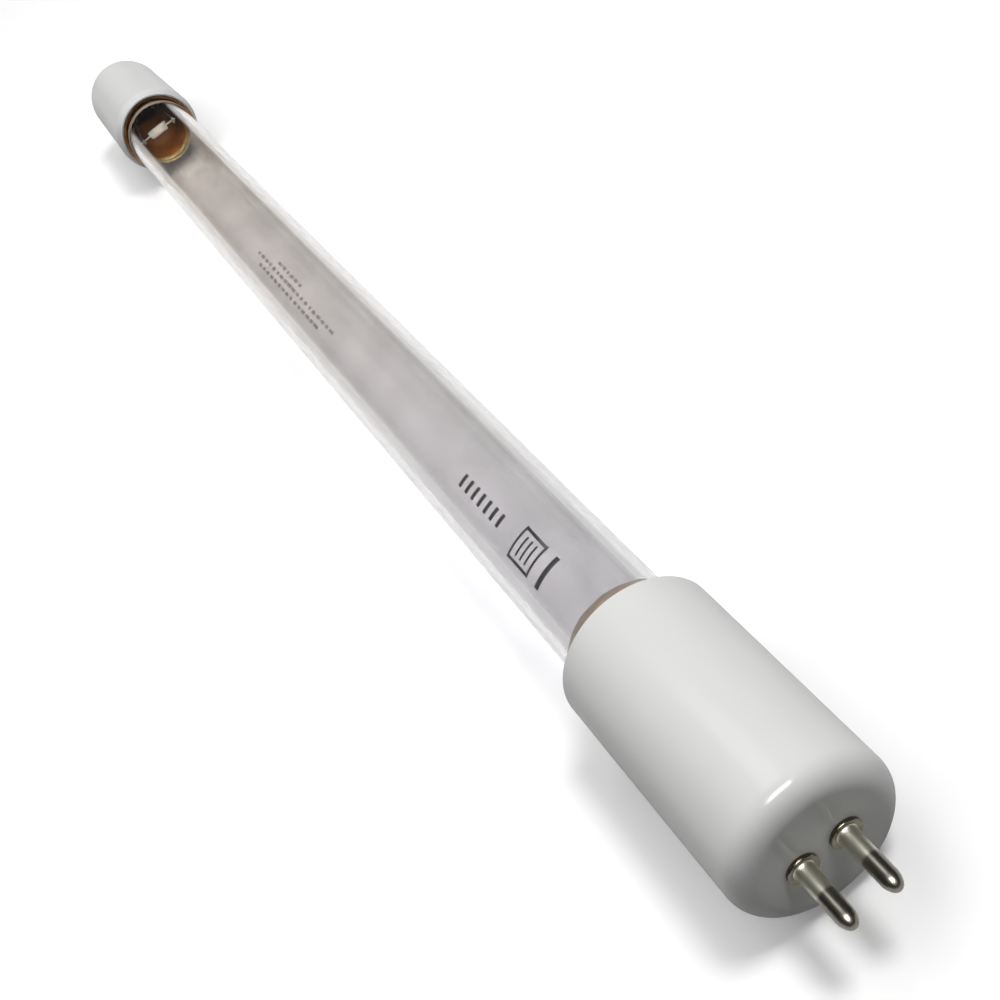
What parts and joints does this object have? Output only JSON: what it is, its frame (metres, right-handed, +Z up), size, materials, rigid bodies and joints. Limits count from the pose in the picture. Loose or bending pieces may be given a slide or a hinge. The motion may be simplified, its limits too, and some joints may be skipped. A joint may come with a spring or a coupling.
{
  "type": "uv germicidal lamp",
  "caption": "Straight clear quartz germicidal lamp with a coil electrode in each end, white ceramic end caps and contact pins that plug into its holders.",
  "frame": {"origin": "middle of the base cap's face, between its two pins", "axes": "+X out of the base along the pins, the lamp runs to -X; the pins stand side by side along Y; Z up"},
  "size_m": [0.3124, 0.0216, 0.0216],
  "materials": {
    "clear_quartz": "clear fire-polished quartz",
    "glazed_ceramic": "white glossy glaze",
    "basing_cement": "cured amber-brown resin cement",
    "nickel_plate": "nickel plate on brass",
    "emitter_coating": "white oxide coating on a tungsten coil",
    "lead_wire": "drawn nickel wire",
    "molybdenum": "rolled foil"
  },
  "bodies": {
    "root": {"quartz_tube": "clear_quartz", "base_cap": "glazed_ceramic", "end_cap": "glazed_ceramic", "base_cement": "basing_cement", "end_cement": "basing_cement", "base_filament": "emitter_coating", "end_filament": "emitter_coating", "base_pin_left": "nickel_plate", "base_support_left": "lead_wire", "base_foil_left": "molybdenum", "base_lead_left": "lead_wire", "base_pin_right": "nickel_plate", "base_support_right": "lead_wire", "base_foil_right": "molybdenum", "base_lead_right": "lead_wire", "end_pin_left": "nickel_plate", "end_support_left": "lead_wire", "end_foil_left": "molybdenum", "end_lead_left": "lead_wire", "end_pin_right": "nickel_plate", "end_support_right": "lead_wire", "end_foil_right": "molybdenum", "end_lead_right": "lead_wire"}
  },
  "joints": []
}
